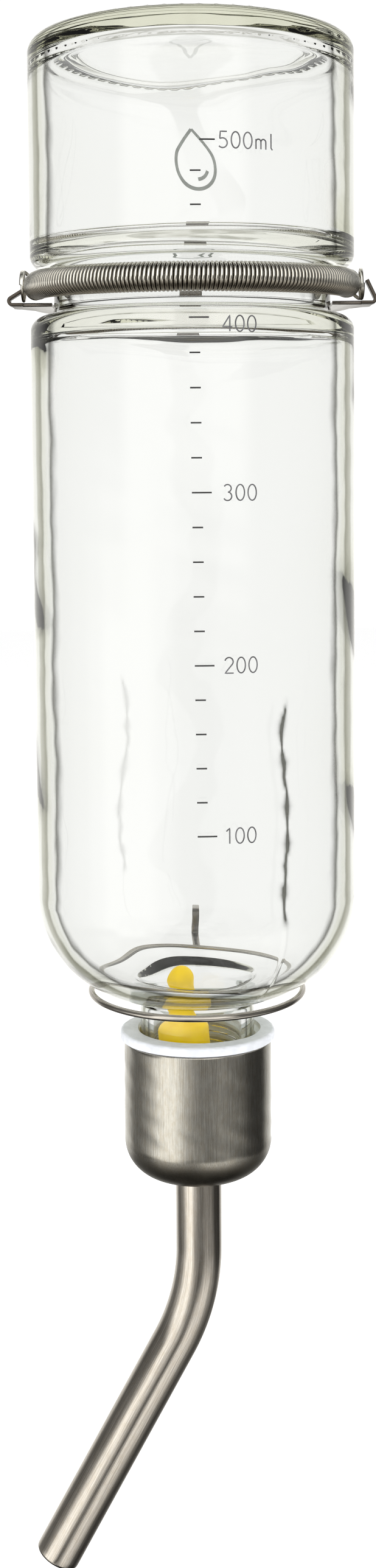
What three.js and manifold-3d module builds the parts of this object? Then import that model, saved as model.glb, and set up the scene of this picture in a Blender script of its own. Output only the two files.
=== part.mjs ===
// Rabbit water bottle: an inverted half-litre glass bottle, a screw cap with a bent drinking tube
// and ball valve, a loose float, and a cage holder of a strap, a coil spring and a neck ring.
//
// Millimetres, +Z up. The origin is the middle of the face of the cage hook that rests on the
// cage wires, and the cage stands behind it at +Y. The bottle's axis is vertical, in front of the
// cage at x = 0, y = -AXIS_DEPTH. The drinking tube bends towards -X.

import * as THREE from 'three';
import { mergeVertices } from 'three/addons/utils/BufferGeometryUtils.js';
import Module from 'manifold-3d';

const wasm = await Module();
wasm.setup();

// ---- driving dimensions -------------------------------------------------------------------

const GAP = 0.3; // clearance between pieces that touch or turn on each other
const AXIS_DEPTH = 37; // bottle axis in front of the cage face

// glass bottle, upside down: its base is at the top
const BODY_R = 34.2;
const GLASS_WALL = 3.4;
const BASE_Z = 52;
const BASE_THICK = 3.7;
const HEEL_R = 3; // outer corner round of the base
const INNER_HEEL_R = 4.5;
const PUNT_R = 26; // shallow recess in the middle of the base
const PUNT_DEPTH = 1.2;
const GROOVE_Z = -0.6; // middle of the groove for the strap and spring
const GROOVE_FLOOR_R = 29.2;
const GROOVE_HALF = 5; // half height of the groove's flat floor
const LIP_R = 3; // round of the groove's two lips
const SHOULDER_Z = -128; // where the straight body ends
const SHOULDER_R = 23;
const NECK_R = 12.3;
const NECK_BORE_R = 9.6;
const NECK_END_Z = -178;

// screw thread between the neck and the liner, right-handed
const PITCH = 3.2;
const THREAD_CREST_R = 13.3;
const THREAD_TOP_Z = -160.5;
const THREAD_TURNS = 1.5;
const THREAD_STEPS = 20; // per turn

// cap: thin steel shell over a plastic threaded liner
const CAP_R = 16;
const SHELL_WALL = 0.7;
const CAP_BOTTOM_Z = -190.8;
const CAP_CORNER_R = 8.3;
const FLANGE_TOP_Z = -158.4;
const FLANGE_THICK = 2;
const FLANGE_R = 16.8;
const LINER_R = 14.9;
const LINER_BORE_R = 12.65;
const LINER_GROOVE_R = 13.7;
const LINER_FLOOR_Z = -184.3; // top face of the liner's floor
const GROMMET_R = 7;
const GROMMET_FLANGE_R = 9.5;
const GROMMET_FLANGE_THICK = 2;

// drinking tube and ball
const TUBE_R = 5;
const TUBE_BORE_R = 4.2;
const TUBE_TOP_Z = -179;
const COLLAR_R = 9;
const COLLAR_THICK = 1.1;
const WASHER_THICK = 2;
const BEND_START_Z = -207;
const BEND_R = 46;
const BEND_ANGLE = THREE.MathUtils.degToRad(28.5);
const SPOUT_LENGTH = 55.9; // straight stretch after the bend
const LIP_BORE_R = 3.55; // rolled-in end that keeps the ball
const BALL_R = 3.9;
const BALL_INSET = 2.4; // ball centre above the end of the tube

// float
const FLOAT_R = 5.6;
const FLOAT_HEAD_R = 2.9;
const FLOAT_HEIGHT = 31.3;
const FLOAT_X = -1.7; // where its foot stands, off the bottle's axis
const FLOAT_LEAN = THREE.MathUtils.degToRad(4.2);

// holder
const STRAP_THICK = 0.8;
const STRAP_Z = -2.7; // middle of the flat strap, which lies level in the groove
const STRAP_R = 29.6; // inner edge
const STRAP_OUTER_R = 35;
const EAR_X = 39.1;
const EAR_Y = -1; // front edge of the ears, level with the bottle's axis
const EAR_BACK_Y = 8;
const TONGUE_HALF = 1.3; // half width of the tongue folded back over each ear
const LEFT_TONGUE_TIP = [33.6, 1.6]; // passes through the spring's end loop, its hinge
const RIGHT_TONGUE_TIP = [36.9, 2]; // stands just outside the loop, which swings past it
const SPRING_R = 32.6; // centre line of the spring round the bottle
const SPRING_COIL_R = 3;
const SPRING_WIRE = 0.8;
const SPRING_END_Z = 1.2; // the ends sit higher in the groove than the front
const SPRING_DROOP = 1.7;
const SPRING_SPAN = THREE.MathUtils.degToRad(168);
const LOOP_R = 3; // end loops of the spring, round the ears
const LOOP_X = 35.6;
const LOOP_Y = -0.6;
const RING_R = 22.9;
const RING_WIRE_R = 0.75;
const RING_Z = -149.75;
const RING_TILT = THREE.MathUtils.degToRad(1.7); // the ring dips at the front
const RING_HOOK_Z = -149.5; // underside of the ring hook's foot
const CAGE_HOOK_WIDTH = 5.5;
const RING_HOOK_WIDTH = 1.8;
const HOOK_THICK = 1;
const HOOK_THROAT = 4.8; // room for a cage wire behind the rest face
const HOOK_RISE = 9.3; // from the foot's underside to the top of the bridge
const HOOK_TIP = 8.2; // length of the tip behind the wire

// ---- helpers ------------------------------------------------------------------------------

const TAU = 2 * Math.PI;

function steel(color, roughness) {
  return new THREE.MeshStandardMaterial({ color, roughness, metalness: 1 });
}

function plastic(color, roughness) {
  return new THREE.MeshStandardMaterial({ color, roughness, metalness: 0 });
}

// Joins equal vertices, drops triangles that have shrunk to a line, and turns the faces outward.
function closed(geometry) {
  geometry.deleteAttribute('normal');
  geometry.deleteAttribute('uv');
  const merged = mergeVertices(geometry, 1e-4);
  const index = merged.index.array;
  const position = merged.attributes.position;
  const [a, b, c] = [new THREE.Vector3(), new THREE.Vector3(), new THREE.Vector3()];
  const kept = [];
  let volume = 0;
  for (let i = 0; i < index.length; i += 3) {
    const [p, q, r] = [index[i], index[i + 1], index[i + 2]];
    if (p === q || q === r || r === p) continue;
    kept.push(p, q, r);
    a.fromBufferAttribute(position, p);
    b.fromBufferAttribute(position, q);
    c.fromBufferAttribute(position, r);
    volume += a.dot(b.cross(c));
  }
  if (volume < 0) kept.reverse();
  merged.setIndex(kept);
  return merged;
}

function toSolid(geometry) {
  const shape = closed(geometry);
  const mesh = new wasm.Mesh({
    numProp: 3,
    vertProperties: new Float32Array(shape.attributes.position.array),
    triVerts: new Uint32Array(shape.index.array),
  });
  return new wasm.Manifold(mesh);
}

function toGeometry(solid) {
  const mesh = solid.getMesh();
  const geometry = new THREE.BufferGeometry();
  geometry.setAttribute('position', new THREE.BufferAttribute(mesh.vertProperties, 3));
  geometry.setIndex(new THREE.BufferAttribute(mesh.triVerts, 1));
  return geometry;
}

function part(name, geometry, material) {
  const mesh = new THREE.Mesh(geometry, material);
  mesh.name = name;
  return mesh;
}

// Revolves a closed outline of [radius, height] points about the Z axis.
function revolve(outline, segments) {
  const points = outline.map(([r, z]) => new THREE.Vector2(r, z));
  points.push(points[0].clone());
  const geometry = new THREE.LatheGeometry(points, segments);
  geometry.rotateX(Math.PI / 2);
  return closed(geometry);
}

// Points of an arc in the [radius, height] plane, from one angle to another, in degrees.
function arc(r, z, radius, from, to, steps) {
  return Array.from({ length: steps + 1 }, (_, i) => {
    const angle = THREE.MathUtils.degToRad(from + ((to - from) * i) / steps);
    return [r + radius * Math.cos(angle), z + radius * Math.sin(angle)];
  });
}

// Skins a row of rings of equal point count. An open row is capped at its two ends, and a
// looped row joins its last ring to its first, as the bore of a tube joins its outside.
function skin(rings, looped) {
  const count = rings[0].length;
  const row = [...rings];
  if (!looped) {
    for (const end of [0, rings.length - 1]) {
      const middle = new THREE.Vector3();
      for (const point of rings[end]) middle.addScaledVector(point, 1 / count);
      const cap = Array(count).fill(middle);
      if (end === 0) row.unshift(cap);
      else row.push(cap);
    }
  }
  const geometry = new THREE.BufferGeometry().setFromPoints(row.flat());
  const index = [];
  const last = looped ? row.length : row.length - 1;
  for (let i = 0; i < last; i++) {
    const next = (i + 1) % row.length;
    for (let k = 0; k < count; k++) {
      const side = (k + 1) % count;
      const [p, q, r, s] = [i * count + k, i * count + side, next * count + side, next * count + k];
      index.push(p, q, r, p, r, s);
    }
  }
  geometry.setIndex(index);
  return closed(geometry);
}

// A circle of points about a centre, in the plane of two unit vectors.
function circle(centre, u, v, radius, sides) {
  return Array.from({ length: sides }, (_, k) => {
    const angle = (TAU * k) / sides;
    return centre
      .clone()
      .addScaledVector(u, radius * Math.cos(angle))
      .addScaledVector(v, radius * Math.sin(angle));
  });
}

// A strip: a flat outline in the XY plane with thickness along Z, centred on z = 0.
function strip(outline, height) {
  const shape = new THREE.Shape(outline.map(([x, y]) => new THREE.Vector2(x, y)));
  const geometry = new THREE.ExtrudeGeometry(shape, { depth: height, bevelEnabled: false });
  return closed(geometry.translate(0, 0, -height / 2));
}

// A helical ridge of [radius, height] section that climbs PITCH for each turn.
function helix(section, startZ, turns, phase) {
  const steps = Math.round(turns * THREAD_STEPS);
  const rings = [];
  for (let i = 0; i <= steps; i++) {
    const turn = i / THREAD_STEPS;
    const angle = TAU * (turn + phase);
    const at = ([r, z]) =>
      new THREE.Vector3(r * Math.cos(angle), r * Math.sin(angle), startZ + z + PITCH * turn);
    rings.push(section.map(at));
  }
  return skin(rings, false);
}

// ---- bottle -------------------------------------------------------------------------------

function glassBottle() {
  const innerR = BODY_R - GLASS_WALL;
  const innerTop = BASE_Z - BASE_THICK;
  const grooveTop = GROOVE_Z + GROOVE_HALF;
  const grooveBottom = GROOVE_Z - GROOVE_HALF;
  const lipIn = BODY_R - LIP_R;
  const bulgeR = GROOVE_FLOOR_R - GLASS_WALL;
  const bulgeHalf = GROOVE_HALF + GLASS_WALL;
  const shoulderMid = BODY_R - SHOULDER_R;
  const innerShoulderR = SHOULDER_R - GLASS_WALL + 0.2;
  const innerShoulderMid = innerR - innerShoulderR;
  const neckTop = SHOULDER_Z - SHOULDER_R;
  const outside = [
    [0, BASE_Z - PUNT_DEPTH],
    [PUNT_R - 2, BASE_Z - PUNT_DEPTH],
    [PUNT_R, BASE_Z],
    ...arc(BODY_R - HEEL_R, BASE_Z - HEEL_R, HEEL_R, 90, 0, 3),
    ...arc(lipIn, grooveTop + LIP_R, LIP_R, 0, -90, 3),
    [GROOVE_FLOOR_R, grooveTop - 1],
    [GROOVE_FLOOR_R, grooveBottom + 1],
    ...arc(lipIn, grooveBottom - LIP_R, LIP_R, 90, 0, 3),
    ...arc(shoulderMid, SHOULDER_Z, SHOULDER_R, 0, -80, 8),
    [NECK_R + 0.8, neckTop - 0.1],
    [NECK_R, neckTop - 1],
    [NECK_R, NECK_END_Z + 0.5],
    [NECK_R - 0.5, NECK_END_Z],
  ];
  const inside = [
    [NECK_BORE_R, NECK_END_Z],
    [NECK_BORE_R, neckTop - 0.5],
    ...arc(innerShoulderMid, SHOULDER_Z, innerShoulderR, -84, 0, 7),
    [innerR, GROOVE_Z - bulgeHalf - 2],
    [bulgeR, GROOVE_Z - bulgeHalf + 3],
    [bulgeR, GROOVE_Z + bulgeHalf - 3],
    [innerR, GROOVE_Z + bulgeHalf + 2],
    ...arc(innerR - INNER_HEEL_R, innerTop - INNER_HEEL_R, INNER_HEEL_R, 0, 90, 3),
    [0, innerTop - 0.4],
  ];
  const glass = toSolid(revolve([...outside, ...inside], 36));
  const thread = helix(
    [[NECK_R - 0.4, -1], [NECK_R - 0.4, 1], [THREAD_CREST_R, 0.4], [THREAD_CREST_R, -0.4]],
    THREAD_TOP_Z - PITCH * THREAD_TURNS, THREAD_TURNS, 0,
  );
  return toGeometry(glass.add(toSolid(thread)));
}

// ---- cap ----------------------------------------------------------------------------------

function capShell() {
  const top = FLANGE_TOP_Z - FLANGE_THICK - GAP;
  const middle = CAP_R - CAP_CORNER_R;
  const cornerZ = CAP_BOTTOM_Z + CAP_CORNER_R;
  const hole = TUBE_R + GAP + 0.1;
  return revolve([
    [CAP_R, top],
    ...arc(middle, cornerZ, CAP_CORNER_R, 0, -90, 6),
    [hole, CAP_BOTTOM_Z],
    [hole, CAP_BOTTOM_Z + SHELL_WALL],
    ...arc(middle, cornerZ, CAP_CORNER_R - SHELL_WALL, -90, 0, 6),
    [CAP_R - SHELL_WALL, top],
  ], 36);
}

function threadLiner() {
  const flangeBottom = FLANGE_TOP_Z - FLANGE_THICK;
  const bottom = CAP_BOTTOM_Z + SHELL_WALL + GAP;
  const cornerR = CAP_CORNER_R - SHELL_WALL - GAP;
  const body = revolve([
    [FLANGE_R - 0.4, FLANGE_TOP_Z],
    [FLANGE_R, FLANGE_TOP_Z - 0.5],
    [FLANGE_R, flangeBottom],
    [LINER_R, flangeBottom],
    ...arc(LINER_R - cornerR, bottom + cornerR, cornerR, 0, -90, 5),
    [GROMMET_R + GAP, bottom],
    [GROMMET_R + GAP, LINER_FLOOR_Z],
    [LINER_BORE_R, LINER_FLOOR_Z],
    [LINER_BORE_R, FLANGE_TOP_Z],
  ], 36);
  const depth = LINER_BORE_R - 0.5;
  const start = THREAD_TOP_Z - PITCH * THREAD_TURNS;
  const extra = 0.5; // turns of groove below the neck thread's lower end
  const turns = extra + Math.ceil((FLANGE_TOP_Z - start) / PITCH) + 0.75;
  const groove = helix(
    [[depth, -1.25], [depth, 1.25], [LINER_GROOVE_R, 0.75], [LINER_GROOVE_R, -0.75]],
    start - extra * PITCH, turns, -extra,
  );
  return toGeometry(toSolid(body).subtract(toSolid(groove)));
}

function sealingWasher() {
  const top = NECK_END_Z - GAP;
  return revolve([
    [TUBE_R + 0.35, top],
    [NECK_R, top],
    [NECK_R, top - WASHER_THICK],
    [TUBE_R + 0.35, top - WASHER_THICK],
  ], 28);
}

function tubeGrommet() {
  const bottom = CAP_BOTTOM_Z + SHELL_WALL + GAP;
  const flangeBottom = LINER_FLOOR_Z + GAP;
  const flangeTop = flangeBottom + GROMMET_FLANGE_THICK;
  return revolve([
    [TUBE_R + GAP, flangeTop],
    [GROMMET_FLANGE_R, flangeTop],
    [GROMMET_FLANGE_R, flangeBottom],
    [GROMMET_R, flangeBottom],
    [GROMMET_R, bottom],
    [TUBE_R + GAP, bottom],
  ], 28);
}

// ---- drinking tube, ball and float --------------------------------------------------------

// Places along the tube's centre line: straight down, round the bend, then straight again.
function tubeStation(length) {
  const straight = TUBE_TOP_Z - BEND_START_Z;
  const bend = BEND_R * BEND_ANGLE;
  const angle = THREE.MathUtils.clamp((length - straight) / BEND_R, 0, BEND_ANGLE);
  const along = new THREE.Vector3(-Math.sin(angle), 0, -Math.cos(angle));
  const centre = new THREE.Vector3(
    -BEND_R * (1 - Math.cos(angle)),
    0,
    TUBE_TOP_Z - Math.min(length, straight) - BEND_R * Math.sin(angle),
  );
  centre.addScaledVector(along, Math.max(0, length - straight - bend));
  const side = new THREE.Vector3(-along.z, 0, along.x);
  return { centre, along, side };
}

const TUBE_LENGTH = TUBE_TOP_Z - BEND_START_Z + BEND_R * BEND_ANGLE + SPOUT_LENGTH;

function tubeRing(length, radius) {
  const { centre, side } = tubeStation(length);
  return circle(centre, side, new THREE.Vector3(0, 1, 0), radius, 18);
}

function drinkingTube() {
  const straight = TUBE_TOP_Z - BEND_START_Z;
  const bendSteps = 7;
  const run = [0];
  for (let i = 0; i <= bendSteps; i++) run.push(straight + (BEND_R * BEND_ANGLE * i) / bendSteps);
  const collarTop = NECK_END_Z - WASHER_THICK - 2 * GAP;
  const collarStart = TUBE_TOP_Z - collarTop;
  const seat = TUBE_LENGTH - 0.4;
  const rings = [
    tubeRing(0, TUBE_R),
    tubeRing(collarStart, TUBE_R),
    tubeRing(collarStart, COLLAR_R),
    tubeRing(collarStart + COLLAR_THICK, COLLAR_R),
    tubeRing(collarStart + COLLAR_THICK, TUBE_R),
    ...run.slice(1).map((length) => tubeRing(length, TUBE_R)),
    tubeRing(TUBE_LENGTH - 1.2, TUBE_R),
    tubeRing(TUBE_LENGTH - 0.35, TUBE_R - 0.35),
    tubeRing(TUBE_LENGTH, TUBE_R - 1.1),
    tubeRing(TUBE_LENGTH, LIP_BORE_R),
    tubeRing(seat, LIP_BORE_R),
    tubeRing(TUBE_LENGTH - 1.4, TUBE_BORE_R),
    ...run.reverse().map((length) => tubeRing(length, TUBE_BORE_R)),
  ];
  return skin(rings, true);
}

function spoutBall() {
  const { centre } = tubeStation(TUBE_LENGTH - BALL_INSET);
  const geometry = new THREE.SphereGeometry(BALL_R, 18, 12);
  return closed(geometry.translate(centre.x, centre.y, centre.z));
}

function float() {
  const headZ = FLOAT_HEIGHT - FLOAT_HEAD_R;
  const outline = [
    [0, 0],
    [FLOAT_R - 0.6, 0],
    [FLOAT_R, 0.6],
    [FLOAT_R, 20],
    [FLOAT_R - 0.8, 21.2],
    [FLOAT_HEAD_R + 0.3, 22],
    ...arc(0, headZ, FLOAT_HEAD_R, 0, 90, 4),
  ];
  return revolve(outline, 20).rotateY(-FLOAT_LEAN).translate(FLOAT_X, 0, NECK_END_Z + 0.5);
}

// ---- holder -------------------------------------------------------------------------------

// A flat C that lies level in the groove round the bottle's back, with an ear at each side.
// A narrow tongue folds up and back over each ear, for the spring's end loop.
function clampStrap() {
  const innerStart = Math.asin(EAR_Y / STRAP_R);
  const outerStart = Math.asin(EAR_BACK_Y / STRAP_OUTER_R);
  const steps = 24;
  const inner = [];
  const outer = [];
  for (let i = 0; i <= steps; i++) {
    const low = Math.PI - innerStart - ((Math.PI - 2 * innerStart) * i) / steps;
    const high = outerStart + ((Math.PI - 2 * outerStart) * i) / steps;
    inner.push([STRAP_R * Math.cos(low), STRAP_R * Math.sin(low)]);
    outer.push([STRAP_OUTER_R * Math.cos(high), STRAP_OUTER_R * Math.sin(high)]);
  }
  const ear = (side) => [[side * EAR_X, EAR_Y], [side * EAR_X, EAR_BACK_Y - 3]];
  const plate = strip([...inner, ...ear(1), ...outer, ...ear(-1).reverse()], STRAP_THICK);
  const solid = toSolid(plate.translate(0, 0, STRAP_Z));
  return toGeometry(solid.add(earTongue(-1, LEFT_TONGUE_TIP)).add(earTongue(1, RIGHT_TONGUE_TIP)));
}

function earTongue(side, [tipX, tipZ]) {
  const run = EAR_X - tipX;
  const rise = tipZ - STRAP_Z;
  const tongue = new THREE.BoxGeometry(Math.hypot(run, rise), 2 * TONGUE_HALF, STRAP_THICK);
  tongue.rotateY(side * Math.atan2(rise, run));
  return toSolid(
    tongue.translate(side * (EAR_X - run / 2), LOOP_Y, STRAP_Z + rise / 2),
  );
}

// A strip hook seen from its side: a foot that is welded to the holder, a plate that rests on
// the cage, a bridge over a cage wire and a tip behind it. Heights are counted from the foot.
function hookStrip(footY, bridgeZ, width) {
  const t = HOOK_THICK;
  const back = HOOK_THROAT + t;
  const outline = [
    [footY, 0],
    [0, 0],
    [0, bridgeZ - t],
    [HOOK_THROAT, bridgeZ - t],
    [HOOK_THROAT, bridgeZ - HOOK_TIP],
    [back, bridgeZ - HOOK_TIP],
    [back, bridgeZ - 0.6],
    [back - 0.6, bridgeZ],
    [-t, bridgeZ],
    [-t, t],
    [footY, t],
  ];
  const geometry = strip(outline, width);
  // outline x becomes row Y, outline y becomes row Z, thickness becomes row X
  const turn = new THREE.Matrix4().makeBasis(
    new THREE.Vector3(0, 1, 0),
    new THREE.Vector3(0, 0, 1),
    new THREE.Vector3(1, 0, 0),
  );
  return geometry.applyMatrix4(turn);
}

// Its foot lies under the strap.
function cageHook() {
  const bottom = STRAP_Z - STRAP_THICK / 2 - GAP - HOOK_THICK;
  const footY = STRAP_R + 0.6 - AXIS_DEPTH;
  return hookStrip(footY, HOOK_RISE, CAGE_HOOK_WIDTH).translate(0, 0, bottom);
}

// Its foot ends behind the neck ring.
function ringHook() {
  const footY = RING_R + RING_WIRE_R + GAP - AXIS_DEPTH;
  return hookStrip(footY, HOOK_RISE, RING_HOOK_WIDTH).translate(0, 0, RING_HOOK_Z);
}

function neckRing() {
  return closed(new THREE.TorusGeometry(RING_R, RING_WIRE_R, 10, 44));
}

// A close-wound spring bent round the front of the groove: a hollow coil whose wire ends in a
// loop round each ear of the strap.
function clampSpring() {
  const up = new THREE.Vector3(0, 0, 1);
  const steps = 26;
  const ring = (i, radius) => {
    const angle = SPRING_SPAN * (i / steps - 0.5);
    const out = new THREE.Vector3(Math.sin(angle), -Math.cos(angle), 0);
    const centre = out.clone().multiplyScalar(SPRING_R);
    centre.z = SPRING_END_Z - SPRING_DROOP * Math.cos(angle);
    return circle(centre, out, up, radius, 12);
  };
  const outside = Array.from({ length: steps + 1 }, (_, i) => ring(i, SPRING_COIL_R));
  const bore = outside.map((_, i) => ring(steps - i, SPRING_COIL_R - SPRING_WIRE));
  const coil = toSolid(skin([...outside, ...bore], true));
  return toGeometry(coil.add(endLoop(-1)).add(endLoop(1)));
}

function endLoop(side) {
  const loop = new THREE.TorusGeometry(LOOP_R, SPRING_WIRE / 2, 8, 20);
  loop.rotateY(Math.PI / 2);
  return toSolid(loop.translate(side * LOOP_X, LOOP_Y, SPRING_END_Z));
}

// ---- assembly -----------------------------------------------------------------------------

const glass = new THREE.MeshStandardMaterial({
  color: 0xe9efe9,
  roughness: 0.05,
  metalness: 0,
  transparent: true,
  opacity: 0.35,
});

// everything centred on the bottle's axis
const onAxis = new THREE.Group();
onAxis.position.set(0, -AXIS_DEPTH, 0);
onAxis.add(
  part('glass_bottle', glassBottle(), glass),
  part('cap_shell', capShell(), steel(0x9a9890, 0.35)),
  part('thread_liner', threadLiner(), plastic(0xeef2f5, 0.5)),
  part('sealing_washer', sealingWasher(), plastic(0xd0d0c8, 0.8)),
  part('tube_grommet', tubeGrommet(), plastic(0xd0d0c8, 0.8)),
  part('drinking_tube', drinkingTube(), steel(0x8f8b82, 0.25)),
  part('spout_ball', spoutBall(), steel(0x8a8780, 0.15)),
  part('float', float(), plastic(0xf2c200, 0.4)),
  part('clamp_strap', clampStrap(), steel(0x8d8880, 0.35)),
  part('clamp_spring', clampSpring(), steel(0xb5b2ab, 0.25)),
);

const ring = part('neck_ring', neckRing(), steel(0x9c9a95, 0.2));
ring.position.z = RING_Z;
ring.rotation.x = RING_TILT;
onAxis.add(ring);

const group = new THREE.Group();
group.add(
  onAxis,
  part('cage_hook', cageHook(), steel(0x8d8880, 0.35)),
  part('ring_hook', ringHook(), steel(0x8d8880, 0.35)),
);

export default group;
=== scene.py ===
"""Looks of the rabbit water bottle: fine meshes, materials, light and camera.

Shapes are worked out in millimetres, with x and y counted from the bottle's axis and z in the row
frame. make_piece turns them into metres in the row frame.
"""

import math
import random

import bmesh
import bpy
import numpy as np
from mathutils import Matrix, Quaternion, Vector


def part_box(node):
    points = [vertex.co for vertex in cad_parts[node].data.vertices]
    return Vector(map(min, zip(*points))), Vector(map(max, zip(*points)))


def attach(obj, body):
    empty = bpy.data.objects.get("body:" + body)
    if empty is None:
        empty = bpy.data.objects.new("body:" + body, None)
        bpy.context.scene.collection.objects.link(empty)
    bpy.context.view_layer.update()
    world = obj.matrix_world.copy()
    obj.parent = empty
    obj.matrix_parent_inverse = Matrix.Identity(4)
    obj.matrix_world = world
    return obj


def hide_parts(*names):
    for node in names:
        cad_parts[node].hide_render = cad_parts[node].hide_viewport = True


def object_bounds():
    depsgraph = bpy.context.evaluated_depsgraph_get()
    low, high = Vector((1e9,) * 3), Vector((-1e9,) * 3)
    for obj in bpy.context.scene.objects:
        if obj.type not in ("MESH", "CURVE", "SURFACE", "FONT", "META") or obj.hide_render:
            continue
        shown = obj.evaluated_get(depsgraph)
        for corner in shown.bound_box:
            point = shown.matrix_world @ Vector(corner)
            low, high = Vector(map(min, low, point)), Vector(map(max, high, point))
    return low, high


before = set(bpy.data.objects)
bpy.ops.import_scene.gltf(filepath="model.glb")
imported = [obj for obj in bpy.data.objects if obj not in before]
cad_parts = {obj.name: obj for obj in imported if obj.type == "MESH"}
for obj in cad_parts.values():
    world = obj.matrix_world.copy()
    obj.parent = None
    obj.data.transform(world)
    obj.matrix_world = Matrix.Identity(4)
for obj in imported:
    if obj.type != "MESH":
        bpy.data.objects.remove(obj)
cad_low, cad_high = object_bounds()

MM = 0.001
TAU = 2 * math.pi
SEED = 11

glass_low, glass_high = (np.array(corner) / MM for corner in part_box("glass_bottle"))
AXIS_X = (glass_low[0] + glass_high[0]) / 2
AXIS_Y = (glass_low[1] + glass_high[1]) / 2
AXIS = np.array([AXIS_X, AXIS_Y, 0.0])


def box_mm(name):
    """A CAD node's lowest and highest corners, in millimetres from the bottle's axis."""
    return [np.array(corner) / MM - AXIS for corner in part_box(name)]


shell_low, shell_high = box_mm("cap_shell")
liner_high = box_mm("thread_liner")[1]
washer_low, washer_high = box_mm("sealing_washer")
grommet_low, grommet_high = box_mm("tube_grommet")
tube_high = box_mm("drinking_tube")[1]
ball_low, ball_high = box_mm("spout_ball")
ring_low, ring_high = box_mm("neck_ring")
strap_low = box_mm("clamp_strap")[0]

# glass
BODY_R = glass_high[0]
BASE_Z = glass_high[2]
NECK_END_Z = glass_low[2]
WALL = 3.4
BASE_THICK = 3.7
HEEL_R = 3.0
INNER_HEEL_R = 4.5
PUNT_R = 26.0  # hollow in the middle of the base
PUNT_ROUND = 3.0
PUNT_DEPTH = 1.2
BEARING_R = PUNT_R + 2  # inner edge of the flat ring that the base stands on
BEARING_ROUND = 2.0
GROOVE_Z = -0.6
GROOVE_FLOOR_R = 29.2
GROOVE_HALF = 5.0
LIP_R = 3.0
SHOULDER_Z = -128.0
SHOULDER_R = 23.0
NECK_TOP_Z = SHOULDER_Z - SHOULDER_R
NECK_R = 12.3
NECK_BORE_R = 9.6
NECK_FILLET_R = 2.2
MOUTH_ROUND = 1.0
MOUTH_Z = NECK_END_Z + MOUTH_ROUND
PITCH = 3.2
THREAD_CREST_R = 13.3
THREAD_START_Z = -165.3
THREAD_TURNS = 1.5
THREAD_HALF = (0.4, 1.0)  # half its width at the crest and at the foot
STUDS = 58  # small studs round the bearing ring of the base
STUD_HEIGHT = 0.32
SEAM_ANGLES = (math.radians(-58.3), math.radians(121.7))  # mould seams, front right, back left
SEAM_RIDGE = ((-150, -136), (-82, -86))  # heights over which a seam's ridge fades in and out
SEAM_LINE = ((-131, -128), (-84, -86))  # the same for its dark line, which is painted shade
SLACK = 0.01  # added where a point is told by its radius

# cap, liner and seals
CAP_R = shell_high[0]
CAP_TOP_Z = shell_high[2]
CAP_BOTTOM_Z = shell_low[2]
CAP_CORNER_R = 8.3
SHELL_WALL = 0.7
FLANGE_R = liner_high[0]
FLANGE_TOP_Z = liner_high[2]
FLANGE_THICK = 2.0
LINER_R = 14.9
LINER_BORE_R = 12.65
LINER_GROOVE_R = 13.7
LINER_GROOVE_HALF = (0.75, 1.25)
LINER_FLOOR_Z = -184.3
GROMMET_R = 7.0
SEAL_EDGE = 0.3
CLEARANCE = 0.3  # between neighbours in the cap

# tube and ball
TUBE_R = 5.0
TUBE_BORE_R = 4.2
TUBE_TOP_Z = tube_high[2]
COLLAR_R = 9.0
COLLAR_THICK = 1.1
BEND_START_Z = -207.0
BEND_R = 46.0
BEND_ANGLE = math.radians(28.5)
SPOUT_LENGTH = 55.9
BALL_R = (ball_high - ball_low).min() / 2
BALL_CENTRE = (ball_low + ball_high) / 2

# float
FLOAT_R = 5.6
FLOAT_HEAD_R = 2.9
FLOAT_HEIGHT = 31.3
FLOAT_BODY_HEIGHT = 19.0  # up to its round shoulder
FLOAT_X = -1.7
FLOAT_LEAN = math.radians(4.2)

# holder
STRAP_THICK = 0.8
STRAP_Z = strap_low[2] + STRAP_THICK / 2
STRAP_R = 29.6
STRAP_OUTER_R = 35.0
EAR_X = 39.1
EAR_Y = -1.0
EAR_BACK_Y = 8.0
EAR_CORNER_R = 1.5
# how much darker the ears and tongues are drawn
EAR_DARKENING = 0.75
TONGUE_HALF = 1.3
TONGUE_TIPS = {-1: (33.6, 1.6), 1: (36.9, 2.0)}  # how far in and up each ear's tongue reaches
SPRING_R = 32.6
COIL_R = 2.6  # centre line of the wire round the spring's own axis
SPRING_WIRE_R = 0.39
SPRING_PITCH = 0.83
SPRING_END_Z = 1.2
SPRING_DROOP = 1.7
SPRING_SPAN = math.radians(168)
LOOP_X = 35.6
LOOP_Y = -0.6
RING_WIRE_R = 0.75
RING_R = ring_high[0] - RING_WIRE_R
RING_TILT = math.radians(1.7)  # the ring dips at the front
RING_Z = (ring_low[2] + ring_high[2]) / 2
HOOK_THICK = 1.0
HOOK_TIP = 8.2  # from the top of a hook down to its free end


# ---- mesh helpers ----


def arc(r, z, radius, start, end, steps):
    """Points of an arc in the [radius, height] plane, from one angle to another in degrees."""
    angles = np.radians(np.linspace(start, end, steps + 1))
    return [[r + radius * math.cos(a), z + radius * math.sin(a)] for a in angles]


def line(start, end, step):
    """Points from start up to, but not including, end, about a step apart."""
    start, end = np.array(start, float), np.array(end, float)
    count = max(1, round(float(np.linalg.norm(end - start)) / step))
    return [list(start + (end - start) * i / count) for i in range(count)]


def smooth_step(low, high, value):
    share = np.clip((np.asarray(value, float) - low) / (high - low), 0, 1)
    return share * share * (3 - 2 * share)


def grid_faces(rows, count, looped=False):
    """Quads between neighbouring rings of count points. A looped row joins its last and first."""
    faces = []
    for i in range(rows if looped else rows - 1):
        a, b = i * count, ((i + 1) % rows) * count
        faces += [(a + k, a + (k + 1) % count, b + (k + 1) % count, b + k) for k in range(count)]
    return faces


def ring_caps(rows, count):
    """The two end faces of an open row of rings."""
    last = (rows - 1) * count
    return [tuple(range(count))[::-1], tuple(range(last, last + count))]


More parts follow.
